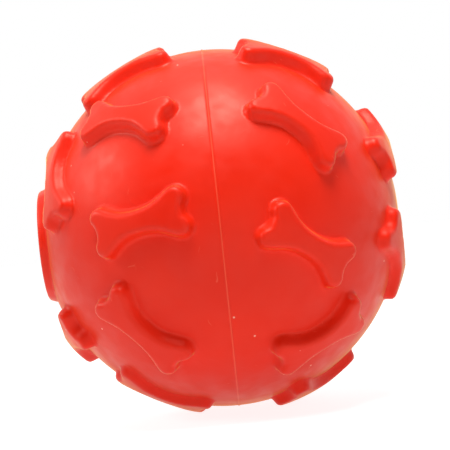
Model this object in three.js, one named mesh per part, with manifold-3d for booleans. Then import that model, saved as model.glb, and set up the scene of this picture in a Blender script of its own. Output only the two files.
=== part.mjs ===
// A hollow rubber dog ball with raised bones and a reed squeaker, as an assembly of its real pieces.
// Two moulded half shells are bonded in the plane x = 0. The squeaker is pushed into a round flat boss
// on the -X pole: a holed case, its end cap, a grooved reed seat, a wedge and the thin reed that they
// clamp. Millimetres, +Z up, origin at the ball's centre, -X out of the squeaker, -Y to the viewer.

import * as THREE from 'three';
import { mergeVertices } from 'three/addons/utils/BufferGeometryUtils.js';
import Module from 'manifold-3d';

const wasm = await Module();
wasm.setup();

// Ball
const BALL_RADIUS = 35;
const WALL = 4;

// Raised bones: length and width are those of the top face, before its edge is rounded
const BONE_PROUD = 2.4;
const BONE_LENGTH = 18.2;
const BONE_WIDTH = 8.6;
const BONE_SHAFT_WIDTH = 3.8;
const KNUCKLE_RADIUS = 1.65;
const NOTCH_DEPTH = 0.9;
const BONE_FLARE = 0.5;
const BONE_EDGE_ROUND = 0.7;
const BONE_ROOT_DEPTH = 0.6;

// Round boss on the squeaker's pole, with a flat face
const BOSS_RADIUS = 10.9;
const BOSS_HEIGHT = 1.6;
const BOSS_DRAFT = 0.25;
const BOSS_EDGE_ROUND = 0.5;

// Squeaker
const BARREL_RADIUS = 4.7;
const BARREL_WALL = 1.1;
const BARREL_LENGTH = 13;
const FLANGE_RADIUS = 7.5;
const FLANGE_THICKNESS = 1.4;
const FACE_HOLE_RADIUS = 0.8;
const FACE_HOLE_CIRCLE = 2.1;
const FACE_HOLE_COUNT = 6;
const BARB_HEIGHT = 0.9;
const BARB_LENGTH = 2.2;
const COLLAR_RADIUS = 9;
const COLLAR_DEPTH = 4.2;

// Squeaker end cap and the reed pack inside
const CAP_THICKNESS = 1.2;
const CAP_SPIGOT_LENGTH = 1.6;
const AIR_PORT_RADIUS = 0.8;
const MOUTH_DEPTH = 1.2;
const SEAT_LENGTH = 8.6;
const GROOVE_WIDTH = 1.5;
const GROOVE_DEPTH = 1.3;
const GROOVE_END_WALL = 1.2;
const WEDGE_LENGTH = 3;
const REED_WIDTH = 2.6;
const REED_THICKNESS = 0.2;
const REED_LENGTH = 7.6;

// Clearances
const PRESS_GAP = 0.15;
const FACE_GAP = 0.3;
const REED_GAP = 0.3;

// Facets
const RING_STEPS = 48;
const ARC_STEPS = 12;
const INNER_ARC_STEPS = 8;
const SMALL_RING_STEPS = 24;
const NECK_STEPS = 3;
const KNUCKLE_STEPS = 4;

// Each bone's place on the ball, in degrees: latitude towards +X, azimuth from -Y up to +Z, and
// the turn of its long axis from the +X direction. The last value is its share of BONE_PROUD,
// because the mouldings stand lower on the underside and towards the poles.
const BONES = [
  // Ring of ten on the -X half
  [-23.7, 4.3, 7.7, 1],
  [-25.4, 42.3, -27, 1],
  [-25.8, 73.4, 7.4, 1],
  [-25, 111, 32, 1],
  [-26, 148, -25, 1],
  [-25, 184, 14, 1],
  [-26, 220, -35, 1],
  [-25, 254, 20, 0.9],
  [-24.1, 288.6, -16.3, 0.62],
  [-26.6, 327.3, -41.1, 1],
  // Ring of ten on the +X half
  [25.5, -8.4, -37, 1],
  [26.8, 32.7, -34.9, 1],
  [26, 70.6, 3.1, 1.12],
  [26, 107, 35, 1],
  [25, 143, -12, 1],
  [26, 179, 30, 1],
  [25, 213, -30, 1],
  [26, 247, 15, 0.9],
  [26, 276.2, -43.4, 0.82],
  [27, 316.5, 7.1, 1],
  // Three round the squeaker's boss
  [-57.4, 39.7, 82.4, 0.88],
  [-57.5, 163, 92, 0.95],
  [-57.5, 287.5, 85, 1],
  // Three round the plain pole
  [65, 63, 88.3, 0.95],
  [65, 187, 90, 0.9],
  [67, 321.5, 100.5, 0.83],
];

// Places that follow from the sizes above
const innerRadius = BALL_RADIUS - WALL;
const recessRadius = FLANGE_RADIUS + PRESS_GAP;
const bossFootRadius = BOSS_RADIUS + BOSS_DRAFT;
const faceX = Math.sqrt(BALL_RADIUS ** 2 - BOSS_RADIUS ** 2) + BOSS_HEIGHT;
const flangeSeatX = faceX - FLANGE_THICKNESS;
const collarX = flangeSeatX - COLLAR_DEPTH;
const boreRadius = BARREL_RADIUS + PRESS_GAP;
const barrelBore = BARREL_RADIUS - BARREL_WALL;
const barrelEndX = flangeSeatX - BARREL_LENGTH;
const capInnerX = barrelEndX + CAP_SPIGOT_LENGTH;
const packRadius = barrelBore - PRESS_GAP;
const packOuterX = flangeSeatX - MOUTH_DEPTH;
const packInnerX = packOuterX - SEAT_LENGTH;
const clampX = packOuterX - WEDGE_LENGTH;
const partingZ = -REED_GAP - REED_THICKNESS / 2;
const reedTailX = packOuterX - REED_GAP;
const reedTipX = reedTailX - REED_LENGTH;

const rubber = new THREE.MeshStandardMaterial({ color: 0xf03a28, roughness: 0.55, metalness: 0 });
const casing = new THREE.MeshStandardMaterial({ color: 0xf2f0ea, roughness: 0.4, metalness: 0 });
const reedPack = new THREE.MeshStandardMaterial({ color: 0xd9dde0, roughness: 0.45, metalness: 0 });
const reedFilm = new THREE.MeshStandardMaterial({ color: 0xd9b86c, roughness: 0.3, metalness: 0 });

// A closed three.js geometry as a solid for joining and cutting
function solid(geometry) {
  const bare = geometry.clone();
  bare.deleteAttribute('normal');
  bare.deleteAttribute('uv');
  const merged = mergeVertices(bare, 1e-4);
  return new wasm.Manifold(new wasm.Mesh({
    numProp: 3,
    vertProperties: new Float32Array(merged.attributes.position.array),
    triVerts: new Uint32Array(merged.index.array),
  }));
}

// A finished solid as a named mesh
function piece(name, shape, material) {
  const out = shape.getMesh();
  const geometry = new THREE.BufferGeometry();
  geometry.setAttribute('position', new THREE.BufferAttribute(new Float32Array(out.vertProperties), 3));
  geometry.setIndex(new THREE.BufferAttribute(new Uint32Array(out.triVerts), 1));
  geometry.computeVertexNormals();
  const mesh = new THREE.Mesh(geometry, material);
  mesh.name = name;
  return mesh;
}

// A profile of [x, radius] points turned about the X axis; it runs with the solid on its left.
// Side 1 keeps its x, and side -1 turns the shape round to the -X side.
function turned(profile, steps = RING_STEPS, side = 1) {
  const points = profile.map(([x, radius]) => new THREE.Vector2(radius, x));
  return solid(new THREE.LatheGeometry(points, steps).rotateZ(-side * Math.PI / 2));
}

// Points along a circle about the ball's centre, from one x to another
function arcPoints(radius, fromX, toX, steps) {
  const from = Math.acos(fromX / radius);
  const to = Math.acos(toX / radius);
  return Array.from({ length: steps + 1 }, (_, i) => {
    const angle = from + (to - from) * i / steps;
    return [radius * Math.cos(angle), radius * Math.sin(angle)];
  });
}

// A quarter of the bone's outline, from the middle of the shaft to the notch between its knuckles
function boneQuarter(grow) {
  const knuckle = KNUCKLE_RADIUS + grow;
  const alongX = BONE_LENGTH / 2 - KNUCKLE_RADIUS;
  const acrossY = BONE_WIDTH / 2 - KNUCKLE_RADIUS;
  const waist = BONE_SHAFT_WIDTH / 2 + grow;
  const neckAngle = THREE.MathUtils.degToRad(118);
  const endAngle = THREE.MathUtils.degToRad(-38);
  const onKnuckle = (angle) => new THREE.Vector2(
    alongX + knuckle * Math.cos(angle),
    acrossY + knuckle * Math.sin(angle),
  );
  const neckEnd = onKnuckle(neckAngle);
  const neckPull = new THREE.Vector2(-Math.sin(neckAngle), Math.cos(neckAngle)).multiplyScalar(alongX * 0.3);
  const neck = new THREE.CubicBezierCurve(
    new THREE.Vector2(0, waist),
    new THREE.Vector2(alongX * 0.45, waist),
    neckEnd.clone().add(neckPull),
    neckEnd,
  ).getPoints(NECK_STEPS);
  const knob = [];
  for (let i = 1; i <= KNUCKLE_STEPS; i += 1) {
    knob.push(onKnuckle(neckAngle + (endAngle - neckAngle) * i / KNUCKLE_STEPS));
  }
  return [...neck, ...knob, new THREE.Vector2(BONE_LENGTH / 2 - NOTCH_DEPTH + grow, 0)];
}

// The whole outline, mirrored from the quarter, anticlockwise from the +X notch
function boneOutline(grow) {
  const quarter = boneQuarter(grow).reverse();
  const left = quarter.slice(0, -1).map((p) => new THREE.Vector2(-p.x, p.y)).reverse();
  const upper = [...quarter, ...left];
  const lower = upper.slice(1, -1).map((p) => new THREE.Vector2(p.x, -p.y)).reverse();
  return [...upper, ...lower];
}

// A drafted bone wrapped on the ball: rings of the outline rise from its root to its rounded top,
// and both ends close on a spine along the middle, so that the top follows the ball
function bone([latitude, azimuth, turn, share]) {
  const lat = THREE.MathUtils.degToRad(latitude);
  const az = THREE.MathUtils.degToRad(azimuth);
  const tilt = THREE.MathUtils.degToRad(turn);
  const centre = new THREE.Vector3(
    Math.sin(lat),
    -Math.cos(lat) * Math.cos(az),
    Math.cos(lat) * Math.sin(az),
  );
  const east = new THREE.Vector3(
    Math.cos(lat),
    Math.sin(lat) * Math.cos(az),
    -Math.sin(lat) * Math.sin(az),
  );
  const north = new THREE.Vector3(0, Math.sin(az), Math.cos(az));
  const long = east.clone().multiplyScalar(Math.cos(tilt)).addScaledVector(north, Math.sin(tilt));
  const cross = new THREE.Vector3().crossVectors(centre, long);
  const wrap = (p, height) => {
    const angle = p.length() / BALL_RADIUS;
    const stretch = p.length() > 0 ? Math.sin(angle) / p.length() : 0;
    return centre.clone().multiplyScalar(Math.cos(angle))
      .addScaledVector(long, p.x * stretch)
      .addScaledVector(cross, p.y * stretch)
      .multiplyScalar(BALL_RADIUS + height);
  };
  const proud = BONE_PROUD * share;
  const rings = [
    { grow: BONE_FLARE * (1 + BONE_ROOT_DEPTH / proud), height: -BONE_ROOT_DEPTH },
    { grow: 0, height: proud - BONE_EDGE_ROUND },
    { grow: -BONE_EDGE_ROUND, height: proud },
  ];
  const count = boneOutline(0).length;
  const points = [];
  const faces = [];
  for (const { grow, height } of rings) {
    for (const p of boneOutline(grow)) points.push(wrap(p, height));
  }
  for (let ring = 0; ring + 1 < rings.length; ring += 1) {
    for (let i = 0; i < count; i += 1) {
      const low = ring * count + i;
      const lowNext = ring * count + (i + 1) % count;
      faces.push(low, lowNext, low + count, lowNext, lowNext + count, low + count);
    }
  }
  const spineEnd = BONE_LENGTH / 2 - NOTCH_DEPTH - BONE_EDGE_ROUND - KNUCKLE_RADIUS / 2;
  const closeEnd = (ring, flip) => {
    const outline = boneOutline(rings[ring].grow);
    const spine = outline.map((p) => new THREE.Vector2(THREE.MathUtils.clamp(p.x, -spineEnd, spineEnd), 0));
    const triangle = (a, b, c) => {
      faces.push(...(flip ? [a, c, b] : [a, b, c]));
    };
    const first = points.length;
    for (const p of spine) points.push(wrap(p, rings[ring].height));
    for (let i = 0; i < count; i += 1) {
      const next = (i + 1) % count;
      const rim = ring * count;
      triangle(rim + i, rim + next, first + i);
      if (spine[i].distanceTo(spine[next]) > 1e-6) triangle(rim + next, first + next, first + i);
    }
  };
  closeEnd(0, true);
  closeEnd(rings.length - 1, false);
  const geometry = new THREE.BufferGeometry();
  geometry.setAttribute('position', new THREE.Float32BufferAttribute(points.flatMap((p) => p.toArray()), 3));
  geometry.setIndex(faces);
  return solid(geometry);
}

// The bones that stand on one half, joined to it
function withBones(shell, side) {
  return BONES.filter(([latitude]) => Math.sign(latitude) === side)
    .reduce((joined, place) => joined.add(bone(place)), shell);
}

// The half shell with the boss, and in it the recess, the bore and the inner collar for the
// squeaker. Its profile is drawn towards +X, as the squeaker's are, and turned round to -X.
function shellLeft() {
  const collarBackX = Math.sqrt(innerRadius ** 2 - COLLAR_RADIUS ** 2);
  const bossFootX = Math.sqrt(BALL_RADIUS ** 2 - bossFootRadius ** 2);
  const profile = [
    ...arcPoints(BALL_RADIUS, 0, bossFootX, ARC_STEPS),
    [faceX - BOSS_EDGE_ROUND, BOSS_RADIUS],
    [faceX, BOSS_RADIUS - BOSS_EDGE_ROUND],
    [faceX, recessRadius],
    [flangeSeatX, recessRadius],
    [flangeSeatX, boreRadius],
    [collarX, boreRadius],
    [collarX, COLLAR_RADIUS],
    ...arcPoints(innerRadius, collarBackX, 0, INNER_ARC_STEPS),
  ];
  return withBones(turned([...profile, profile[0]], RING_STEPS, -1), -1);
}

// The plain half shell, closed at its pole and open at the seam
function shellRight() {
  const outer = arcPoints(BALL_RADIUS, BALL_RADIUS, 0, ARC_STEPS).reverse();
  const inner = arcPoints(innerRadius, innerRadius, 0, INNER_ARC_STEPS);
  return withBones(turned([...outer, ...inner, outer[0]]), 1);
}

// The squeaker's pieces are drawn with its face towards +X, and the group turns them to -X.

// The case: a holed face, a flange that fills the recess and a barrel with a barbed ring
function squeakerCase() {
  const barbX = collarX - FACE_GAP;
  const profile = [
    [faceX, 0],
    [faceX, FLANGE_RADIUS],
    [flangeSeatX, FLANGE_RADIUS],
    [flangeSeatX, BARREL_RADIUS],
    [barbX, BARREL_RADIUS],
    [barbX, BARREL_RADIUS + BARB_HEIGHT],
    [barbX - BARB_LENGTH, BARREL_RADIUS],
    [barrelEndX, BARREL_RADIUS],
    [barrelEndX, barrelBore],
    [flangeSeatX, barrelBore],
    [flangeSeatX, 0],
  ];
  const hole = new THREE.CylinderGeometry(
    FACE_HOLE_RADIUS, FACE_HOLE_RADIUS, FLANGE_THICKNESS * 2, SMALL_RING_STEPS / 2,
  ).rotateZ(Math.PI / 2);
  let holed = turned(profile.reverse());
  for (let i = 0; i < FACE_HOLE_COUNT; i += 1) {
    const angle = 2 * Math.PI * i / FACE_HOLE_COUNT;
    holed = holed.subtract(solid(hole.clone().translate(
      faceX - FLANGE_THICKNESS / 2,
      FACE_HOLE_CIRCLE * Math.cos(angle),
      FACE_HOLE_CIRCLE * Math.sin(angle),
    )));
  }
  return holed;
}

// The end cap: a disc on the barrel's inner end with a spigot in its bore and the air port
function squeakerCap() {
  return turned([
    [barrelEndX - CAP_THICKNESS, AIR_PORT_RADIUS],
    [barrelEndX - CAP_THICKNESS, BARREL_RADIUS],
    [barrelEndX, BARREL_RADIUS],
    [barrelEndX, barrelBore - PRESS_GAP],
    [capInnerX, barrelBore - PRESS_GAP],
    [capInnerX, AIR_PORT_RADIUS],
    [barrelEndX - CAP_THICKNESS, AIR_PORT_RADIUS],
  ]);
}

// A section drawn across the barrel, [y, z], made into a bar from one x to another
function bar(shape, fromX, toX) {
  const settings = { depth: toX - fromX, bevelEnabled: false, curveSegments: SMALL_RING_STEPS / 2 };
  const geometry = new THREE.ExtrudeGeometry(shape, settings);
  return solid(geometry.rotateY(Math.PI / 2).rotateX(Math.PI / 2).translate(fromX, 0, 0));
}

// A rectangular bar by its limits along x, y and z
function block([fromX, toX], [fromY, toY], [fromZ, toZ]) {
  const geometry = new THREE.BoxGeometry(toX - fromX, toY - fromY, toZ - fromZ);
  return solid(geometry.translate((fromX + toX) / 2, (fromY + toY) / 2, (fromZ + toZ) / 2));
}

// The part of a round bore above or below the plane in which the reed seat and the wedge meet
function roundSection(upper) {
  const rise = Math.asin(partingZ / packRadius);
  const from = upper ? rise : Math.PI - rise;
  const to = upper ? Math.PI - rise : 2 * Math.PI + rise;
  const shape = new THREE.Shape();
  shape.absarc(0, 0, packRadius, from, to, false);
  shape.closePath();
  return shape;
}

// The grooved lower half of the reed pack: the reed's free end closes the groove as it beats
function reedSeat() {
  const groove = block(
    [packInnerX + GROOVE_END_WALL, packOuterX + FACE_GAP],
    [-GROOVE_WIDTH / 2, GROOVE_WIDTH / 2],
    [partingZ - GROOVE_DEPTH, partingZ + FACE_GAP],
  );
  return bar(roundSection(false), packInnerX, packOuterX).subtract(groove);
}

// The upper half, which clamps the reed's tail: it is rebated so that the reed keeps its gap
function reedWedge() {
  const rebate = block(
    [clampX - FACE_GAP, packOuterX + FACE_GAP],
    [-REED_WIDTH / 2 - REED_GAP, REED_WIDTH / 2 + REED_GAP],
    [partingZ - FACE_GAP, REED_THICKNESS / 2 + REED_GAP],
  );
  return bar(roundSection(true), clampX, packOuterX).subtract(rebate);
}

// The reed: a thin strip with a round free end
function reedStrip() {
  const half = REED_WIDTH / 2;
  const shape = new THREE.Shape();
  shape.moveTo(reedTailX, -half);
  shape.lineTo(reedTailX, half);
  shape.lineTo(reedTipX + half, half);
  shape.absarc(reedTipX + half, 0, half, Math.PI / 2, 1.5 * Math.PI, false);
  shape.closePath();
  const settings = { depth: REED_THICKNESS, bevelEnabled: false, curveSegments: SMALL_RING_STEPS / 2 };
  return solid(new THREE.ExtrudeGeometry(shape, settings).translate(0, 0, -REED_THICKNESS / 2));
}

const squeaker = new THREE.Group();
squeaker.add(piece('squeaker_case', squeakerCase(), casing));
squeaker.add(piece('squeaker_cap', squeakerCap(), casing));
squeaker.add(piece('reed_seat', reedSeat(), reedPack));
squeaker.add(piece('reed_wedge', reedWedge(), reedPack));
squeaker.add(piece('reed', reedStrip(), reedFilm));
squeaker.rotation.z = Math.PI;

const ball = new THREE.Group();
ball.add(piece('shell_left', shellLeft(), rubber));
ball.add(piece('shell_right', shellRight(), rubber));
ball.add(squeaker);

export default ball;
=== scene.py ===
# %% [markdown]
# A squeaky dog ball: two moulded rubber halves bonded along a seam, scattered with raised bones, and
# a push-in plastic squeaker in one pole. The hard part of its look is how each bone grows out of the
# ball: steep sides, a soft top edge and a small fillet at the foot, all in one skin of matte rubber.
#
# Everything is in metres in the model's own frame. The seam lies in the plane x = 0, the squeaker
# points along -X out of a round flat boss, and the viewer looks along +Y.

# %% Load the model as the fixed frame
import math

import bpy
from mathutils import Matrix, Vector


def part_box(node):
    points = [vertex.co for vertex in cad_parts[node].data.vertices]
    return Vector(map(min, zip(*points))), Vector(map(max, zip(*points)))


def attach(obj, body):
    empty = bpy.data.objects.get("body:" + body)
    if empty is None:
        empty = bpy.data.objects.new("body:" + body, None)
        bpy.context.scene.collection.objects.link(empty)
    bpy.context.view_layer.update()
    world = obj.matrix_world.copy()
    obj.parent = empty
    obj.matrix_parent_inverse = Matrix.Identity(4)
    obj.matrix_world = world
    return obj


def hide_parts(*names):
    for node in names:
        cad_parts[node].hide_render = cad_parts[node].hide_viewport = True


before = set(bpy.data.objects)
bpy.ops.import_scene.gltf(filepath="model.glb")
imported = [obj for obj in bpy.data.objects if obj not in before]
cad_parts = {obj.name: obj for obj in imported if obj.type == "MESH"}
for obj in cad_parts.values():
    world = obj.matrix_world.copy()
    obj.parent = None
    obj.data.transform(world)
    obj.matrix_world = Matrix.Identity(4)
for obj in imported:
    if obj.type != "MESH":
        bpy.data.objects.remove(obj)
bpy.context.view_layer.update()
MM = 0.001
print("frame nodes:", sorted(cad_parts))

# %% [markdown]
# The ball and its bones have a few sizes, all in millimetres. A bone's length and width are those of
# its top face before the edge is rounded. Each bone's place is its latitude towards +X, its azimuth
# from the viewer's side upwards and the turn of its long axis, in degrees, with its share of the full
# height: two rings of ten, three bones round the squeaker's boss and three round the plain pole.

# %% Sizes and places of the bones
BALL_RADIUS = 35
BONE_LENGTH = 18.2
BONE_WIDTH = 8.6
BONE_SHAFT_WIDTH = 3.8
KNUCKLE_RADIUS = 1.65
NOTCH_DEPTH = 0.9

BONES = [
    (-23.7, 4.3, 7.7, 1), (-25.4, 42.3, -27, 1), (-25.8, 73.4, 7.4, 1), (-25, 111, 32, 1),
    (-26, 148, -25, 1), (-25, 184, 14, 1), (-26, 220, -35, 1), (-25, 254, 20, 0.9),
    (-24.1, 288.6, -16.3, 0.62), (-26.6, 327.3, -41.1, 1),
    (25.5, -8.4, -37, 1), (26.8, 32.7, -34.9, 1), (26, 70.6, 3.1, 1.12), (26, 107, 35, 1),
    (25, 143, -12, 1), (26, 179, 30, 1), (25, 213, -30, 1), (26, 247, 15, 0.9),
    (26, 276.2, -43.4, 0.82), (27, 316.5, 7.1, 1),
    (-57.4, 39.7, 82.4, 0.88), (-57.5, 163, 92, 0.95), (-57.5, 287.5, 85, 1),
    (65, 63, 88.3, 0.95), (65, 187, 90, 0.9), (67, 321.5, 100.5, 0.83),
]
print("bones:", len(BONES))


# %% [markdown]
# Operators act on whatever is selected, so a few small helpers keep the selection honest. One leaves a
# single object selected and active, one opens it in edit mode with all of its mesh selected, one goes
# back to object mode, and the last adds a modifier and applies it at once.

# %% Selection and modifier helpers
def pick(obj):
    bpy.ops.object.select_all(action="DESELECT")
    obj.select_set(True)
    bpy.context.view_layer.objects.active = obj


def edit_all(obj):
    pick(obj)
    bpy.ops.object.mode_set(mode="EDIT")
    bpy.ops.mesh.select_all(action="SELECT")


def done_editing():
    bpy.ops.object.mode_set(mode="OBJECT")


def modify(obj, kind, **settings):
    pick(obj)
    modifier = obj.modifiers.new(kind.title(), kind)
    for key, value in settings.items():
        setattr(modifier, key, value)
    bpy.ops.object.modifier_apply(modifier=modifier.name)


# %% [markdown]
# A bone is a straight shaft that swells through a neck into two round knuckles, with a notch between
# them. It could be drawn as a curve object. Here one quarter of its outline is worked out point by
# point and mirrored twice, because the next step needs the points in order. The pulls say how far each
# curve runs on in its first direction before it turns.

# %% The bone's outline
NECK_STEPS = 14
KNUCKLE_STEPS = 10
END_STEPS = 4
NECK_ANGLE = math.radians(118)
END_ANGLE = math.radians(-38)
SHAFT_PULL = 0.45
NECK_PULL = 0.3
NOTCH_PULL = 0.6


def curve_points(p0, p1, p2, p3, steps):
    """Points on a cubic curve that leaves p0 towards p1 and reaches p3 from p2."""
    points = []
    for i in range(steps + 1):
        t = i / steps
        points.append((1 - t) ** 3 * p0 + 3 * (1 - t) ** 2 * t * p1 + 3 * (1 - t) * t * t * p2 + t ** 3 * p3)
    return points


def bone_outline(grow):
    radius = KNUCKLE_RADIUS + grow
    along = BONE_LENGTH / 2 - KNUCKLE_RADIUS
    across = BONE_WIDTH / 2 - KNUCKLE_RADIUS
    waist = BONE_SHAFT_WIDTH / 2 + grow
    tip = Vector((BONE_LENGTH / 2 - NOTCH_DEPTH + grow, 0))

    def on_knuckle(angle):
        return Vector((along + radius * math.cos(angle), across + radius * math.sin(angle)))

    neck_end = on_knuckle(NECK_ANGLE)
    neck_pull = Vector((-math.sin(NECK_ANGLE), math.cos(NECK_ANGLE))) * along * NECK_PULL
    quarter = curve_points(Vector((0, waist)), Vector((along * SHAFT_PULL, waist)),
                           neck_end + neck_pull, neck_end, NECK_STEPS)
    for i in range(1, KNUCKLE_STEPS + 1):
        quarter.append(on_knuckle(NECK_ANGLE + (END_ANGLE - NECK_ANGLE) * i / KNUCKLE_STEPS))
    inward = Vector((math.sin(END_ANGLE), -math.cos(END_ANGLE))) * NOTCH_DEPTH * NOTCH_PULL
    quarter += curve_points(quarter[-1], quarter[-1] + inward,
                            tip + Vector((0, NOTCH_DEPTH * NOTCH_PULL)), tip, END_STEPS)[1:]
    right = quarter[::-1]
    upper = right + [Vector((-p.x, p.y)) for p in quarter[1:]]
    lower = [Vector((p.x, -p.y)) for p in upper[::-1][1:-1]]
    return upper + lower


print("bone outline:", len(bone_outline(0)), "points")

# %% [markdown]
# One bone is modelled flat, from a filled circle whose points are moved onto the outline. Inset with a
# depth raises the face in small steps, which gives the fillet at the foot, the drafted side and the
# rounded top edge. Bevelling a block would also do, but inset keeps the wall's rings even. Straight
# cuts across the bone then give its flat top the points that it needs to bend round the ball.

# %% Raise one flat bone by insets
FOOT_GROW = 0.95
ROOT_DEPTH = 0.9
GRID_STEP = 1.5
# Each pair is an inset and a rise. The rises add up to the full height of 2.4 mm.
RISES = [
    (0.2, 0.03), (0.15, 0.1), (0.12, 0.17), (0.18, 0.6), (0.2, 0.65),
    (0.12, 0.3), (0.15, 0.25), (0.2, 0.18), (0.28, 0.12),
]


def flat_bone():
    outline = bone_outline(FOOT_GROW)
    bpy.ops.object.select_all(action="DESELECT")
    bpy.ops.mesh.primitive_circle_add(vertices=len(outline), radius=1, fill_type="NGON",
                                      location=(0, 0, -ROOT_DEPTH))
    made = bpy.context.active_object
    bpy.ops.object.transform_apply(location=True, rotation=True, scale=True)
    for vertex, point in zip(made.data.vertices, outline):
        vertex.co.x, vertex.co.y = point
    made.data.update()
    facing_down = made.data.polygons[0].normal.z < 0
    edit_all(made)
    if facing_down:
        bpy.ops.mesh.flip_normals()
    bpy.ops.mesh.extrude_region_move(TRANSFORM_OT_translate={"value": (0, 0, ROOT_DEPTH)})
    for inset, rise in RISES:
        bpy.ops.mesh.inset(thickness=inset, depth=rise)
    for normal, size in (((1, 0, 0), BONE_LENGTH), ((0, 1, 0), BONE_WIDTH)):
        cuts = int((size / 2 + FOOT_GROW) / GRID_STEP)
        for i in range(-cuts, cuts + 1):
            bpy.ops.mesh.select_all(action="SELECT")
            bpy.ops.mesh.bisect(plane_co=[i * GRID_STEP * part for part in normal], plane_no=normal)
    bpy.ops.mesh.select_all(action="SELECT")
    bpy.ops.mesh.normals_make_consistent(inside=False)
    done_editing()
    return made


bone_master = flat_bone()
print("flat bone:", len(bone_master.data.polygons), "faces, height",
      round(max(v.co.z for v in bone_master.data.vertices), 2), "mm")


# %% [markdown]
# Each copy of the bone is then wrapped on the ball: a point's distance from the bone's middle becomes
# an arc on the sphere, and its height is added to the radius. Blender's bend needs a window and bends
# one way only, so the wrap is a few lines of vector work instead.

# %% Wrap copies of the bone on the ball
def wrapped_bone(latitude, azimuth, turn, share):
    lat, az, tilt = (math.radians(a) for a in (latitude, azimuth, turn))
    out = Vector((math.sin(lat), -math.cos(lat) * math.cos(az), math.cos(lat) * math.sin(az)))
    east = Vector((math.cos(lat), math.sin(lat) * math.cos(az), -math.sin(lat) * math.sin(az)))
    north = Vector((0, math.sin(az), math.cos(az)))
    along = east * math.cos(tilt) + north * math.sin(tilt)
    across = out.cross(along)
    copy = bone_master.copy()
    copy.data = bone_master.data.copy()
    bpy.context.scene.collection.objects.link(copy)
    for vertex in copy.data.vertices:
        flat = Vector((vertex.co.x, vertex.co.y))
        height = vertex.co.z * (share if vertex.co.z > 0 else 1)
        angle = flat.length / BALL_RADIUS
        stretch = math.sin(angle) / flat.length if flat.length else 0
        direction = out * math.cos(angle) + along * flat.x * stretch + across * flat.y * stretch
        vertex.co = direction * (BALL_RADIUS + height) * MM
    return copy


def joined(objects, name):
    pick(objects[0])
    for obj in objects:
        obj.select_set(True)
    bpy.ops.object.join()
    bpy.context.active_object.name = name
    return bpy.context.active_object


bones = joined([wrapped_bone(*place) for place in BONES], "bones")
bpy.data.objects.remove(bone_master)
print("wrapped bones:", len(bones.data.polygons), "faces")

# %% [markdown]
# The skin of the ball is the union of a sphere and the bones. A boolean would leave a hard crease and
# sliver faces at each foot. Voxel remesh fuses them into one even skin instead, and a little smoothing
# then rounds every crease as a mould cut by a ball cutter does. Smoothing also blurs the plain ground
# between the bones, so the points that lie on the ground are cast back onto their exact sphere.

# %% Fuse the ball and the bones into one skin
SPHERE_SEGMENTS = 256
VOXEL = 0.39
SMOOTH_FACTOR = 0.5
SMOOTH_STEPS = 3
GROUND_FULL = 0.08
GROUND_NONE = 0.25


def cast_to(obj, name, radius, full, none):
    """Casts the points within `full` of a radius onto it, fading out at `none`, all in millimetres."""
    group = obj.vertex_groups.new(name=name)
    for vertex in obj.data.vertices:
        off = abs(vertex.co.length / MM - radius)
        if off < none:
            group.add([vertex.index], min(1, (none - off) / (none - full)), "REPLACE")
    modify(obj, "CAST", cast_type="SPHERE", factor=1, size=radius * MM, radius=0,
           use_radius_as_size=False, vertex_group=name)
    obj.vertex_groups.clear()


bpy.ops.object.select_all(action="DESELECT")
bpy.ops.mesh.primitive_uv_sphere_add(segments=SPHERE_SEGMENTS, ring_count=SPHERE_SEGMENTS // 2,
                                     radius=BALL_RADIUS * MM)
skin = joined([bpy.context.active_object, bones], "skin")
modify(skin, "REMESH", mode="VOXEL", voxel_size=VOXEL * MM, adaptivity=0)
modify(skin, "SMOOTH", factor=SMOOTH_FACTOR, iterations=SMOOTH_STEPS)
cast_to(skin, "ground", BALL_RADIUS, GROUND_FULL, GROUND_NONE)
print("skin:", len(skin.data.polygons), "faces, reach",
      round(max(v.co.length for v in skin.data.vertices) / MM, 2), "mm")

# %% [markdown]
# The skin is cut in the seam's plane into the two halves. Where the halves were bonded, a hair of
# rubber was squeezed out: the fine raised line round the whole ball. Bisecting close to the seam gives
# edge loops exactly where that ridge needs them, and scaling the loops about the X axis raises it.

# %% Cut the halves and raise the seam's flash
FLASH_HALF_WIDTH = 0.16
FLASH_REACH = FLASH_HALF_WIDTH * 2
FLASH_HEIGHT = 0.13
# In metres: points nearer than this to a cut count as lying in it.
TINY = 1e-7


def half_skin(side, name):
    half = skin.copy()
    half.data = skin.data.copy()
    half.name = name
    bpy.context.scene.collection.objects.link(half)
    edit_all(half)
    bpy.ops.mesh.bisect(plane_co=(0, 0, 0), plane_no=(side, 0, 0), clear_inner=True, threshold=TINY)
    for offset in (FLASH_HALF_WIDTH, FLASH_REACH):
        bpy.ops.mesh.select_all(action="SELECT")
        bpy.ops.mesh.bisect(plane_co=(side * offset * MM, 0, 0), plane_no=(side, 0, 0), threshold=TINY)
    done_editing()
    for vertex in half.data.vertices:
        if abs(vertex.co.x) < FLASH_REACH * MM:
            share = 1 - abs(vertex.co.x) / (FLASH_REACH * MM)
            rise = 1 + FLASH_HEIGHT * share * share * (3 - 2 * share) / BALL_RADIUS
            vertex.co.y *= rise
            vertex.co.z *= rise
    return half


left = half_skin(-1, "rubber_half_left")
right = half_skin(1, "rubber_half_right")
bpy.data.objects.remove(skin)
print("halves:", len(left.data.polygons), "and", len(right.data.polygons), "faces")


# %% [markdown]
# Each half is still a thin skin with an open edge: an edge that only one face uses. Closing it up means
# finding those edges by their place, because two open loops can be bridged with a band of faces.

# %% Find and bridge open edges
# In millimetres: an edge nearer than this to a plane counts as lying in it.
NEAR = 0.02


def open_edges(obj):
    uses = {}
    for face in obj.data.polygons:
        for key in face.edge_keys:
            uses[key] = uses.get(key, 0) + 1
    return {key for key, count in uses.items() if count == 1}


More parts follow.
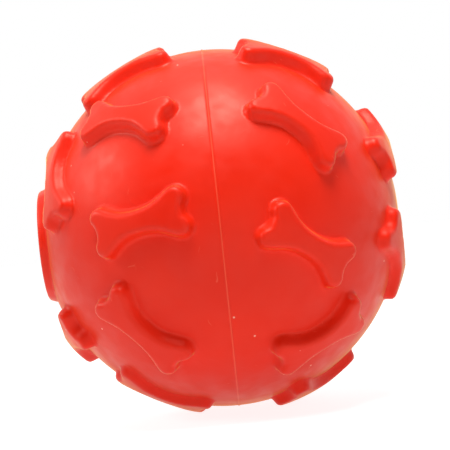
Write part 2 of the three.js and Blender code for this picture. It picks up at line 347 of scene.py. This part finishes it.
def start_selection(obj, part):
    """Leaves none of the mesh selected, in object mode, so that code can select faces or edges."""
    pick(obj)
    bpy.ops.object.mode_set(mode="EDIT")
    bpy.ops.mesh.select_mode(type=part)
    bpy.ops.mesh.select_all(action="DESELECT")
    bpy.ops.object.mode_set(mode="OBJECT")


def select_open(obj, test):
    """Selects the open edges whose two ends pass the test, and enters edit mode."""
    bordering = open_edges(obj)
    start_selection(obj, "EDGE")
    place = obj.data.vertices
    for edge in obj.data.edges:
        edge.select = edge.key in bordering and all(test(place[i].co) for i in edge.vertices)
    bpy.ops.object.mode_set(mode="EDIT")


def bridge_between(obj, x_from, x_to):
    """Bridges the open edge loops that lie between two places on the X axis, in millimetres."""
    low, high = sorted((x_from, x_to))
    select_open(obj, lambda co: low - NEAR < co.x / MM < high + NEAR)
    bpy.ops.mesh.bridge_edge_loops()
    done_editing()


# %% [markdown]
# The ball is hollow, so each half gets an inner wall: a smaller half sphere, turned inside out so that
# its faces point into the hollow. Solidify could make the wall in one step, but it would carry every
# bone through to the inside, which is taken to be smooth. The two open edges at the seam are bridged.

# %% Hollow the right half
WALL = 4
INNER_RADIUS = BALL_RADIUS - WALL
INNER_SEGMENTS = 96


def inner_half(side, open_x=None):
    """The inner wall of a half, cut open at a place on the X axis where one is given."""
    bpy.ops.object.select_all(action="DESELECT")
    bpy.ops.mesh.primitive_uv_sphere_add(segments=INNER_SEGMENTS, ring_count=INNER_SEGMENTS // 2,
                                         radius=INNER_RADIUS * MM, rotation=(0, math.pi / 2, 0))
    bowl = bpy.context.active_object
    bpy.ops.object.transform_apply(location=True, rotation=True, scale=True)
    edit_all(bowl)
    bpy.ops.mesh.bisect(plane_co=(0, 0, 0), plane_no=(side, 0, 0), clear_inner=True, threshold=TINY)
    if open_x:
        bpy.ops.mesh.select_all(action="SELECT")
        bpy.ops.mesh.bisect(plane_co=(side * open_x * MM, 0, 0), plane_no=(side, 0, 0), clear_outer=True,
                            threshold=TINY)
    bpy.ops.mesh.select_all(action="SELECT")
    bpy.ops.mesh.flip_normals()
    done_editing()
    return bowl


right = joined([right, inner_half(1)], "rubber_half_right")
bridge_between(right, 0, 0)
print("right half:", len(right.data.polygons), "faces, open edges", len(open_edges(right)))

# %% [markdown]
# The squeaker sits in a round flat boss on the left half's pole. To make room for it, the skin's pole
# is cut off in a plane. Only faces near the pole are cut, because the same plane would trim the tops of
# the bones beside it. The cut leaves points at uneven distances on its edge, and close ones are merged.

# %% Cut the pole off the left half
BOSS_FOOT_RADIUS = 11.15
BOSS_FOOT_FILLET = 0.7
POLE_REACH = 13.2
POLE_SHARE = 0.9
RIM_SPACING = 0.3

cut_radius = BOSS_FOOT_RADIUS + BOSS_FOOT_FILLET
cut_x = math.sqrt(BALL_RADIUS ** 2 - cut_radius ** 2)
start_selection(left, "FACE")
for face in left.data.polygons:
    centre = face.center / MM
    face.select = centre.x < -cut_x * POLE_SHARE and math.hypot(centre.y, centre.z) < POLE_REACH
bpy.ops.object.mode_set(mode="EDIT")
bpy.ops.mesh.bisect(plane_co=(-cut_x * MM, 0, 0), plane_no=(-1, 0, 0), clear_outer=True, threshold=TINY)
done_editing()
select_open(left, lambda co: abs(co.x / MM + cut_x) < NEAR)
bpy.ops.mesh.remove_doubles(threshold=RIM_SPACING * MM)
done_editing()
print("pole cut at", round(cut_x, 2), "mm, open edges", len(open_edges(left)))


# %% [markdown]
# Extruding the round edge through a list of places and radii draws the boss, the recess, the bore and
# the collar's pad as a turner would. Spin would do the same from a drawn section, but the edge here
# has the uneven points of the skin, and extruding keeps them joined to it. The last edge is bridged to
# a round opening in the inner wall.

# %% Turn the boss and the squeaker's seat
FACE_X = -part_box("squeaker_case")[0].x / MM
BOSS_RADIUS = 10.9
BOSS_EDGE_ROUND = 0.7
FOOT_STEPS = 5
EDGE_STEPS = 6
FLANGE_THICKNESS = 1.4
FLANGE_RADIUS = 7.5
BARREL_RADIUS = 4.7
PRESS_GAP = 0.15
RECESS_ROUND = 0.2
RECESS_ROUND_MIDDLE = 0.06
COLLAR_DEPTH = 4.2
COLLAR_RADIUS = 9
PAD_STEP_IN = 0.5
PAD_EDGE_IN = 0.1
PAD_EDGE_RISE = 0.15


def turn_rim(obj, side, profile):
    """Extrudes the round open edge at the profile's first point through the others, (x, radius)."""
    x, radius = profile[0]
    select_open(obj, lambda co: abs(co.x / MM - side * x) < NEAR)
    for to_x, to_radius in profile[1:]:
        bpy.ops.mesh.extrude_edges_move(TRANSFORM_OT_translate={"value": (side * (to_x - x) * MM, 0, 0)})
        scale = to_radius / radius
        bpy.ops.transform.resize(value=(1, scale, scale), center_override=(side * to_x * MM, 0, 0))
        x, radius = to_x, to_radius
    done_editing()


def round_corner(from_x, from_radius, to_x, to_radius, steps, hollow):
    """Points on a quarter of an ellipse between two places; a hollow one bends the other way."""
    points = []
    for i in range(1, steps + 1):
        angle = math.pi / 2 * i / steps
        along, over = math.sin(angle), 1 - math.cos(angle)
        if hollow:
            along, over = over, along
        points.append((from_x + (to_x - from_x) * along, from_radius + (to_radius - from_radius) * over))
    return points


seat_x = FACE_X - FLANGE_THICKNESS
collar_x = seat_x - COLLAR_DEPTH
pad_x = math.sqrt(INNER_RADIUS ** 2 - COLLAR_RADIUS ** 2)
recess_radius = FLANGE_RADIUS + PRESS_GAP
bore_radius = BARREL_RADIUS + PRESS_GAP
turn_rim(left, -1, [
    (cut_x, cut_radius),
    *round_corner(cut_x, cut_radius, cut_x + BOSS_FOOT_FILLET, BOSS_FOOT_RADIUS, FOOT_STEPS, True),
    *round_corner(FACE_X - BOSS_EDGE_ROUND, BOSS_RADIUS, FACE_X, BOSS_RADIUS - BOSS_EDGE_ROUND,
                  EDGE_STEPS, False),
    (FACE_X, recess_radius + RECESS_ROUND),
    (FACE_X - RECESS_ROUND_MIDDLE, recess_radius + RECESS_ROUND_MIDDLE),
    (FACE_X - RECESS_ROUND, recess_radius),
    (seat_x, recess_radius),
    (seat_x, bore_radius),
    (collar_x, bore_radius),
    (collar_x, COLLAR_RADIUS - PAD_STEP_IN),
    (collar_x + PAD_EDGE_RISE, COLLAR_RADIUS - PAD_EDGE_IN),
])
left = joined([left, inner_half(-1, pad_x)], "rubber_half_left")
bridge_between(left, -collar_x - PAD_EDGE_RISE, -pad_x)
bridge_between(left, 0, 0)
print("left half:", len(left.data.polygons), "faces, open edges", len(open_edges(left)))

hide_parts("shell_left")
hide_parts("shell_right")
for half in (left, right):
    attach(half, "ball")


# %% [markdown]
# The squeaker's case is one thin moulding: a flange, a barrel and a barbed ring that holds it in the
# rubber. It is turned the same way. A filled circle is the first face, its edge is extruded through the
# profile over the outside and back up the bore, and the last ring is closed with a face.

# %% Turn the squeaker's case
BARREL_WALL = 1.1
BARREL_LENGTH = 13
BARB_HEIGHT = 0.9
BARB_LENGTH = 2.2
BARB_GAP = 0.3
BARB_BEVEL = 0.15
BARB_BEVEL_DROP = 0.06
CASE_EDGE_ROUND = 0.25
CASE_BEVEL = 0.1
BORE_CHAMFER = 0.2
GATE_RADIUS = 0.45
GATE_FLOOR = 0.6
GATE_DEPTH = 0.12
TURN_STEPS = 96


def turned(name, side, profile, steps):
    """A closed piece turned about the X axis through the profile's points, (x, radius)."""
    x, radius = profile[0]
    bpy.ops.object.select_all(action="DESELECT")
    bpy.ops.mesh.primitive_circle_add(vertices=steps, radius=radius * MM, fill_type="NGON",
                                      location=(side * x * MM, 0, 0), rotation=(0, math.pi / 2, 0))
    made = bpy.context.active_object
    made.name = name
    bpy.ops.object.transform_apply(location=True, rotation=True, scale=True)
    turn_rim(made, side, profile)
    select_open(made, lambda co: True)
    bpy.ops.mesh.edge_face_add()
    bpy.ops.mesh.select_all(action="SELECT")
    bpy.ops.mesh.normals_make_consistent(inside=False)
    done_editing()
    return made


barb_x = collar_x - BARB_GAP
barb_radius = BARREL_RADIUS + BARB_HEIGHT
barrel_end_x = seat_x - BARREL_LENGTH
barrel_bore = BARREL_RADIUS - BARREL_WALL
case = turned("squeaker_case_moulding", -1, [
    (FACE_X - GATE_DEPTH, GATE_RADIUS * GATE_FLOOR),
    (FACE_X, GATE_RADIUS),
    (FACE_X, FLANGE_RADIUS - CASE_EDGE_ROUND * 2),
    *round_corner(FACE_X, FLANGE_RADIUS - CASE_EDGE_ROUND, FACE_X - CASE_EDGE_ROUND, FLANGE_RADIUS,
                  FOOT_STEPS, True),
    (seat_x + CASE_BEVEL, FLANGE_RADIUS),
    (seat_x, FLANGE_RADIUS - CASE_BEVEL),
    (seat_x, BARREL_RADIUS),
    (barb_x, BARREL_RADIUS),
    (barb_x, barb_radius - BARB_BEVEL),
    (barb_x - BARB_BEVEL, barb_radius - BARB_BEVEL_DROP),
    (barb_x - BARB_LENGTH, BARREL_RADIUS),
    (barrel_end_x + CASE_BEVEL, BARREL_RADIUS),
    (barrel_end_x, BARREL_RADIUS - CASE_BEVEL),
    (barrel_end_x, barrel_bore + CASE_BEVEL),
    (barrel_end_x + CASE_BEVEL, barrel_bore),
    (seat_x - BORE_CHAMFER, barrel_bore),
    (seat_x, barrel_bore - BORE_CHAMFER),
    (seat_x, GATE_RADIUS),
], TURN_STEPS)
print("case before its holes:", len(case.data.polygons), "faces")

# %% [markdown]
# Six air holes let the squeaker breathe. One stepped cutter is turned for each, with a wider mouth for
# the countersink, and one boolean takes all six out of the face. The cap and the reed's pieces inside
# are right as they come from CAD, so they only get materials.

# %% Cut the air holes
FACE_HOLE_RADIUS = 0.8
FACE_HOLE_CIRCLE = 2.1
FACE_HOLE_COUNT = 6
COUNTERSINK = 0.15
CUTTER_OVERRUN = 0.4

cutters = []
for i in range(FACE_HOLE_COUNT):
    angle = math.tau * i / FACE_HOLE_COUNT
    cutter = turned("cutter", -1, [
        (FACE_X + COUNTERSINK, FACE_HOLE_RADIUS + COUNTERSINK * 2),
        (FACE_X - COUNTERSINK, FACE_HOLE_RADIUS),
        (seat_x - CUTTER_OVERRUN, FACE_HOLE_RADIUS),
    ], TURN_STEPS // 2)
    cutter.location = (0, FACE_HOLE_CIRCLE * math.cos(angle) * MM, FACE_HOLE_CIRCLE * math.sin(angle) * MM)
    pick(cutter)
    bpy.ops.object.transform_apply(location=True, rotation=False, scale=False)
    cutters.append(cutter)
cutters = joined(cutters, "cutters")
modify(case, "BOOLEAN", operation="DIFFERENCE", object=cutters, solver="EXACT")
bpy.data.objects.remove(cutters)
print("case:", len(case.data.polygons), "faces, open edges", len(open_edges(case)))

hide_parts("squeaker_case")
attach(case, "ball")

# %% [markdown]
# The camera looks straight at the ball from nine radii away. It sees the ball's outline along the lines
# that just touch the sphere, and the lens is worked out from those, so that the smooth body is as large
# as in the photograph. The lens shift puts its middle in place. The seam leans about six degrees in the
# photograph: the ball stays upright here and the camera takes the lean.

# %% Camera at the photograph's angle
VIEW_DISTANCE = 9 * BALL_RADIUS * MM
SEAM_LEAN = math.radians(6)
SENSOR = 36
NEAREST_SEEN = 0.01
BODY_PIXELS = 178.5
IMAGE_PIXELS = 450
CENTRE_PIXEL = (220.5, 227.6)

camera_data = bpy.data.cameras.new("camera")
camera_data.sensor_width = SENSOR
focal_pixels = BODY_PIXELS * math.sqrt((VIEW_DISTANCE / (BALL_RADIUS * MM)) ** 2 - 1)
camera_data.lens = focal_pixels / IMAGE_PIXELS * SENSOR
camera_data.shift_x = (IMAGE_PIXELS / 2 - CENTRE_PIXEL[0]) / IMAGE_PIXELS
camera_data.shift_y = (CENTRE_PIXEL[1] - IMAGE_PIXELS / 2) / IMAGE_PIXELS
camera_data.clip_start = NEAREST_SEEN
camera = bpy.data.objects.new("camera", camera_data)
bpy.context.scene.collection.objects.link(camera)
camera.matrix_world = (Matrix.Translation((0, -VIEW_DISTANCE, 0)) @ Matrix.Rotation(math.pi / 2, 4, "X")
                       @ Matrix.Rotation(-SEAM_LEAN, 4, "Z"))
bpy.context.scene.camera = camera
print("lens:", round(camera_data.lens, 1), "mm")


# %% [markdown]
# Materials are built from nodes in code. One function turns a hex colour to the linear values that
# Blender mixes, by the sRGB standard's curve. Another adds a node with its settings, values and links,
# and two more start a material and give it to a piece. A Mix node that is set to colours keeps them in
# inputs 6 and 7 and its result in output 2, which get names here.

# %% Material helpers
MIX_A = 6
MIX_B = 7
MIX_RESULT = 2


def linear(hex_colour):
    channels = [int(hex_colour[i:i + 2], 16) / 255 for i in (1, 3, 5)]
    return tuple(c / 12.92 if c <= 0.04045 else ((c + 0.055) / 1.055) ** 2.4 for c in channels) + (1,)


def add_node(tree, kind, settings=None, values=None, links=None):
    node = tree.nodes.new(kind)
    for key, value in (settings or {}).items():
        setattr(node, key, value)
    for key, value in (values or {}).items():
        node.inputs[key].default_value = value
    for key, source in (links or {}).items():
        tree.links.new(source, node.inputs[key])
    return node


def new_material(name):
    material = bpy.data.materials.new(name)
    material.use_nodes = True
    material.node_tree.nodes.clear()
    return material, material.node_tree


def give(obj, material):
    obj.data.materials.clear()
    obj.data.materials.append(material)


# %% [markdown]
# The rubber is a saturated orange red that drifts a little over centimetres, as pigment does in a
# moulding. Pale specks of dust lie wherever the surface passes close to the middle of a Voronoi cell,
# drawn larger than most real dust so that they show. The thin flash at the seam gets a painted
# highlight: a paler red, as if its raised line caught the light, which follows the distance from the seam's
# plane.

# %% The rubber's colour
CLOUD_SIZE = 16
DUST_SPACING = 5.5
DUST_CORE = 0.02
DUST_EDGE = 0.045
DUST_STRENGTH = 0.75
# The seam's painted highlight: where it is full and where it fades out, in millimetres from the seam's
# plane, and how pale it gets.
SEAM_HIGHLIGHT_CORE = 0.05
SEAM_HIGHLIGHT_EDGE = 0.18
SEAM_HIGHLIGHT_STRENGTH = 0.42


def rubber_colour(tree, place):
    clouds = add_node(tree, "ShaderNodeTexNoise", values={"Scale": 1 / (CLOUD_SIZE * MM), "Detail": 3},
                      links={"Vector": place}).outputs["Fac"]
    red = add_node(tree, "ShaderNodeMix", {"data_type": "RGBA"},
                   {MIX_A: linear("#e61d06"), MIX_B: linear("#f22709")}, {0: clouds}).outputs[MIX_RESULT]
    cells = add_node(tree, "ShaderNodeTexVoronoi", {"feature": "F1"},
                     {"Scale": 1 / (DUST_SPACING * MM), "Randomness": 1},
                     {"Vector": place}).outputs["Distance"]
    specks = add_node(tree, "ShaderNodeMapRange", {"interpolation_type": "SMOOTHSTEP"},
                      {"From Min": DUST_EDGE, "From Max": DUST_CORE, "To Min": 0, "To Max": DUST_STRENGTH},
                      {0: cells}).outputs[0]
    dusted = add_node(tree, "ShaderNodeMix", {"data_type": "RGBA"}, {MIX_B: linear("#ffc9b4")},
                      {0: specks, MIX_A: red}).outputs[MIX_RESULT]
    across = add_node(tree, "ShaderNodeSeparateXYZ", links={0: place}).outputs["X"]
    from_seam = add_node(tree, "ShaderNodeMath", {"operation": "ABSOLUTE"}, links={0: across}).outputs[0]
    # Painted highlight: the seam's raised line is mixed towards a paler red, as if it caught the light.
    painted_seam_highlight = add_node(tree, "ShaderNodeMapRange", {"interpolation_type": "SMOOTHSTEP"},
                     {"From Min": SEAM_HIGHLIGHT_CORE * MM, "From Max": SEAM_HIGHLIGHT_EDGE * MM,
                      "To Min": SEAM_HIGHLIGHT_STRENGTH, "To Max": 0}, {0: from_seam}).outputs[0]
    return add_node(tree, "ShaderNodeMix", {"data_type": "RGBA"}, {MIX_B: linear("#ff6a4c")},
                    {0: painted_seam_highlight, MIX_A: dusted}).outputs[MIX_RESULT]


# %% [markdown]
# A handled ball has short curved hair scuffs, paler than the rubber. They could be painted by hand.
# Level lines of a noise, kept only where a second noise is high, are a simple way to get them all over.

# %% The rubber's scuffs
SCUFF_DRIFT_SIZE = 7
SCUFF_LEVEL = 0.5
SCUFF_WIDTH = 0.004
SCUFF_STRENGTH = 0.2


def scuffed(tree, place, patches, colour):
    drift = add_node(tree, "ShaderNodeTexNoise", values={"Scale": 1 / (SCUFF_DRIFT_SIZE * MM), "Detail": 1},
                     links={"Vector": place}).outputs["Fac"]
    hairs = add_node(tree, "ShaderNodeMath", {"operation": "COMPARE"}, {1: SCUFF_LEVEL, 2: SCUFF_WIDTH},
                     {0: drift}).outputs[0]
    kept = add_node(tree, "ShaderNodeMapRange", {"interpolation_type": "SMOOTHSTEP"},
                    {"From Min": 0.66, "From Max": 0.72, "To Min": 0, "To Max": SCUFF_STRENGTH},
                    {0: patches}).outputs[0]
    faint = add_node(tree, "ShaderNodeMath", {"operation": "MULTIPLY"}, links={0: hairs, 1: kept}).outputs[0]
    return add_node(tree, "ShaderNodeMix", {"data_type": "RGBA"}, {MIX_B: linear("#ff8f72")},
                    {0: faint, MIX_A: colour}).outputs[MIX_RESULT]


# %% [markdown]
# Moulded rubber with a dusty bloom looks deep where it faces the eye and pale where it turns away.
# Sheen gives that bloom, and a rough specular gives the broad soft highlights. Rubber's IOR is about
# 1.5, and 1.39 matched the weaker highlights of this dusty one. Slight ripples and a drift in roughness
# break up the highlight. The moulding grain is drawn at 0.6 mm, coarser than the real one, to show.

# %% Rubber
PATCH_SIZE = 3.2
RUBBER_GRAIN_SIZE = 0.6


def moulded_rubber():
    material, tree = new_material("moulded_rubber")
    place = add_node(tree, "ShaderNodeTexCoord").outputs["Object"]
    patches = add_node(tree, "ShaderNodeTexNoise", values={"Scale": 1 / (PATCH_SIZE * MM), "Detail": 1},
                       links={"Vector": place}).outputs["Fac"]
    colour = scuffed(tree, place, patches, rubber_colour(tree, place))
    polish = add_node(tree, "ShaderNodeMapRange",
                      values={"From Min": 0.3, "From Max": 0.7, "To Min": 0.38, "To Max": 0.52},
                      links={0: patches}).outputs[0]
    ripples = add_node(tree, "ShaderNodeBump", values={"Strength": 0.3, "Distance": 0.22 * MM},
                       links={"Height": patches}).outputs["Normal"]
    grain = add_node(tree, "ShaderNodeTexNoise",
                     values={"Scale": 1 / (RUBBER_GRAIN_SIZE * MM), "Detail": 4},
                     links={"Vector": place}).outputs["Fac"]
    bump = add_node(tree, "ShaderNodeBump", values={"Strength": 0.16, "Distance": 0.1 * MM},
                    links={"Height": grain, "Normal": ripples}).outputs["Normal"]
    shader = add_node(tree, "ShaderNodeBsdfPrincipled",
                      values={"IOR": 1.39, "Specular Tint": linear("#fff3e2"),
                              "Sheen Weight": 0.7, "Sheen Roughness": 0.24,
                              "Sheen Tint": linear("#ffe67e")},
                      links={"Base Color": colour, "Roughness": polish, "Normal": bump})
    add_node(tree, "ShaderNodeOutputMaterial", links={"Surface": shader.outputs[0]})
    return material


rubber = moulded_rubber()
give(left, rubber)
give(right, rubber)
print("rubber:", len(rubber.node_tree.nodes), "nodes")


# %% [markdown]
# The squeaker's case and cap are an off-white satin polyethylene, which the eye reads as soft and a
# little waxy. The reed's two blocks are polystyrene, cooler and harder. Both have a slight drift in
# tone and a fine grain from the mould, drawn coarser than the real one so that it shows.

# %% Squeaker plastics
TONE_SIZE = 5
ROUGHNESS_DRIFT = 0.06


def moulded_plastic(name, low_tone, high_tone, roughness, grain_size):
    material, tree = new_material(name)
    place = add_node(tree, "ShaderNodeTexCoord").outputs["Object"]
    clouds = add_node(tree, "ShaderNodeTexNoise", values={"Scale": 1 / (TONE_SIZE * MM), "Detail": 2},
                      links={"Vector": place}).outputs["Fac"]
    tone = add_node(tree, "ShaderNodeMix", {"data_type": "RGBA"},
                    {MIX_A: linear(low_tone), MIX_B: linear(high_tone)}, {0: clouds}).outputs[MIX_RESULT]
    grain = add_node(tree, "ShaderNodeTexNoise", values={"Scale": 1 / (grain_size * MM), "Detail": 3},
                     links={"Vector": place}).outputs["Fac"]
    polish = add_node(tree, "ShaderNodeMapRange",
                      values={"To Min": roughness - ROUGHNESS_DRIFT, "To Max": roughness + ROUGHNESS_DRIFT},
                      links={0: grain}).outputs[0]
    bump = add_node(tree, "ShaderNodeBump", values={"Strength": 0.15, "Distance": 0.03 * MM},
                    links={"Height": grain}).outputs["Normal"]
    shader = add_node(tree, "ShaderNodeBsdfPrincipled", values={"IOR": 1.5, "Coat Weight": 0.05},
                      links={"Base Color": tone, "Roughness": polish, "Normal": bump})
    add_node(tree, "ShaderNodeOutputMaterial", links={"Surface": shader.outputs[0]})
    return material


case_plastic = moulded_plastic("satin_polyethylene", "#e9e7df", "#f1efe8", roughness=0.42, grain_size=0.35)
block_plastic = moulded_plastic("satin_polystyrene", "#d4d9dc", "#dfe3e5", roughness=0.36, grain_size=0.25)
give(case, case_plastic)
give(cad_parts["squeaker_cap"], case_plastic)
give(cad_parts["reed_seat"], block_plastic)
give(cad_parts["reed_wedge"], block_plastic)
print("plastics:", case_plastic.name, "and", block_plastic.name)


# %% [markdown]
# The reed is a strip of glossy amber polyester film. Film is drawn out in the making, which leaves fine
# lines along it that catch the light. A noise stretched along X draws them, coarser than the real ones.

# %% Reed film
LINE_SPACING = 0.15
LINE_STRETCH = 0.08


def drawn_film():
    material, tree = new_material("polyester_film")
    place = add_node(tree, "ShaderNodeTexCoord").outputs["Object"]
    along = add_node(tree, "ShaderNodeMapping", values={"Scale": (LINE_STRETCH, 1, 1)},
                     links={"Vector": place}).outputs[0]
    lines = add_node(tree, "ShaderNodeTexNoise", values={"Scale": 1 / (LINE_SPACING * MM), "Detail": 2},
                     links={"Vector": along}).outputs["Fac"]
    tone = add_node(tree, "ShaderNodeMix", {"data_type": "RGBA"},
                    {MIX_A: linear("#d1ad5e"), MIX_B: linear("#e2c47c")}, {0: lines}).outputs[MIX_RESULT]
    polish = add_node(tree, "ShaderNodeMapRange", values={"To Min": 0.18, "To Max": 0.34},
                      links={0: lines}).outputs[0]
    shader = add_node(tree, "ShaderNodeBsdfPrincipled", values={"IOR": 1.6},
                      links={"Base Color": tone, "Roughness": polish})
    add_node(tree, "ShaderNodeOutputMaterial", links={"Surface": shader.outputs[0]})
    return material


give(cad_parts["reed"], drawn_film())
print("reed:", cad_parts["reed"].data.materials[0].name)


# %% [markdown]
# The ball stands in a white tent, dim where the camera looks in and bright at the back. The tent is the
# world, whose strength follows its Y direction. Camera, glossy and transmission rays see plain white in
# its place, at a strength of one. That makes the background white and adds no diffuse light.

# %% The tent
WHITE = (1, 1, 1, 1)
TENT_FRONT = 0.03
TENT_BACK = 1.25


def seen_rays(tree):
    """One for camera, glossy and transmission rays, which see the background, and nought for others."""
    rays = add_node(tree, "ShaderNodeLightPath").outputs
    shown = add_node(tree, "ShaderNodeMath", {"operation": "MAXIMUM"},
                     links={0: rays["Is Camera Ray"], 1: rays["Is Glossy Ray"]}).outputs[0]
    return add_node(tree, "ShaderNodeMath", {"operation": "MAXIMUM"},
                    links={0: shown, 1: rays["Is Transmission Ray"]}).outputs[0]


def studio():
    world = bpy.data.worlds.new("studio")
    bpy.context.scene.world = world
    world.use_nodes = True
    tree = world.node_tree
    tree.nodes.clear()
    seen = seen_rays(tree)
    direction = add_node(tree, "ShaderNodeTexCoord").outputs["Generated"]
    depth = add_node(tree, "ShaderNodeSeparateXYZ", links={0: direction}).outputs["Y"]
    tent = add_node(tree, "ShaderNodeMapRange",
                    values={"From Min": 0, "From Max": 1, "To Min": TENT_FRONT, "To Max": TENT_BACK},
                    links={0: depth}).outputs[0]
    light = add_node(tree, "ShaderNodeBackground", values={"Color": WHITE}, links={"Strength": tent})
    white = add_node(tree, "ShaderNodeBackground", values={"Color": WHITE, "Strength": 1})
    mix = add_node(tree, "ShaderNodeMixShader", links={0: seen, 1: light.outputs[0], 2: white.outputs[0]})
    add_node(tree, "ShaderNodeOutputWorld", links={"Surface": mix.outputs[0]})


studio()
print("tent from", TENT_FRONT, "to", TENT_BACK)


# %% [markdown]
# The photograph's two broad highlights sit where two round panels mirror in the ball: one almost
# overhead and a smaller one at the left. A weak fill from the camera's side lifts the front and leaves
# no highlight. Directions are given as seen in the picture: right, up and towards the camera. Distances
# and sizes are in metres, powers in watts.

# %% The lamps
LAMP_COLOUR = (1, 0.96, 0.9)


def seen_direction(right, up, towards):
    return camera.matrix_world.to_3x3() @ Vector((right, up, towards)).normalized()


def softbox(name, direction, distance, size, power):
    data = bpy.data.lights.new(name, "AREA")
    data.shape = "DISK"
    data.size = size
    data.energy = power
    data.color = LAMP_COLOUR
    lamp = bpy.data.objects.new(name, data)
    bpy.context.scene.collection.objects.link(lamp)
    lamp.location = seen_direction(*direction) * distance
    lamp.rotation_euler = (-lamp.location).to_track_quat("-Z", "Y").to_euler()
    return lamp


softbox("overhead", (-0.05, 0.96, 0.27), distance=0.4, size=0.2, power=1.8)
softbox("side", (-0.9, 0.44, 0.05), distance=0.5, size=0.16, power=0.72)
fill = softbox("fill", (0.2, -0.08, 0.97), distance=0.3, size=0.3, power=0.34)
fill.visible_glossy = False
print("lamps:", len(bpy.data.lights))

# %% [markdown]
# The floor is the white ground that the ball rests on, and keeps its faint shadow. It glows white for
# the rays that see it and less for the light that it throws up on the ball. Its own colour is a mid
# grey, because a paler one, lit by the lamps, mirrors in the rubber and turns the underside pink.

# %% The floor
FLOOR_SIZE = 6
FLOOR_GREY = (0.4, 0.4, 0.4, 1)
FLOOR_SEEN = 0.85
FLOOR_BOUNCE = 0.44
FLOOR_Z = min(v.co.z for half in (left, right) for v in half.data.vertices)
MATT = 0.9

bpy.ops.object.select_all(action="DESELECT")
bpy.ops.mesh.primitive_plane_add(size=FLOOR_SIZE, location=(0, 0, FLOOR_Z))
floor = bpy.context.active_object
floor.name = "floor"
floor_material, floor_tree = new_material("pale_floor")
floor_glow = add_node(floor_tree, "ShaderNodeMapRange",
                      values={"To Min": FLOOR_BOUNCE, "To Max": FLOOR_SEEN},
                      links={0: seen_rays(floor_tree)}).outputs[0]
floor_shader = add_node(floor_tree, "ShaderNodeBsdfPrincipled",
                        values={"Base Color": FLOOR_GREY, "Roughness": MATT, "Emission Color": WHITE},
                        links={"Emission Strength": floor_glow})
add_node(floor_tree, "ShaderNodeOutputMaterial", links={"Surface": floor_shader.outputs[0]})
give(floor, floor_material)
print("floor at", round(FLOOR_Z / MM, 2), "mm")

# %% [markdown]
# With white all round, the ball's front would mirror white and look washed out. A large dark card
# behind the camera keeps it deep. Only reflections see the card: the camera doesn't, it casts no shadow
# and the tent's diffuse light passes it. The Standard view shows colours about as they are written.

# %% The dark card and the view
CARD_RADIUS = 1.2
CARD_DISTANCE = 0.7
CARD_STEPS = 64
CARD_GREY = (0.03, 0.03, 0.03, 1)

bpy.ops.object.select_all(action="DESELECT")
bpy.ops.mesh.primitive_circle_add(vertices=CARD_STEPS, radius=CARD_RADIUS, fill_type="NGON",
                                  location=(0, -CARD_DISTANCE, 0), rotation=(math.pi / 2, 0, 0))
card = bpy.context.active_object
card.name = "dark_card"
card.visible_camera = False
card.visible_shadow = False
card.visible_diffuse = False
card_material, card_tree = new_material("dark_card")
card_shader = add_node(card_tree, "ShaderNodeBsdfPrincipled",
                       values={"Base Color": CARD_GREY, "Roughness": MATT})
add_node(card_tree, "ShaderNodeOutputMaterial", links={"Surface": card_shader.outputs[0]})
give(card, card_material)

bpy.context.scene.view_settings.view_transform = "Standard"
print("view:", bpy.context.scene.view_settings.view_transform)

# %% [markdown]
# Smooth shading by angle keeps an edge sharp where its faces meet at more than the angle. The rubber
# gets a wide one, so that the bones' sides stay soft, and the case a narrow one, so that its turned
# edges stay crisp.

# %% Smooth the pieces
RUBBER_ANGLE = 50
CASE_ANGLE = 30

for piece, angle in ((left, RUBBER_ANGLE), (right, RUBBER_ANGLE), (case, CASE_ANGLE)):
    pick(piece)
    bpy.ops.object.shade_smooth_by_angle(angle=math.radians(angle))
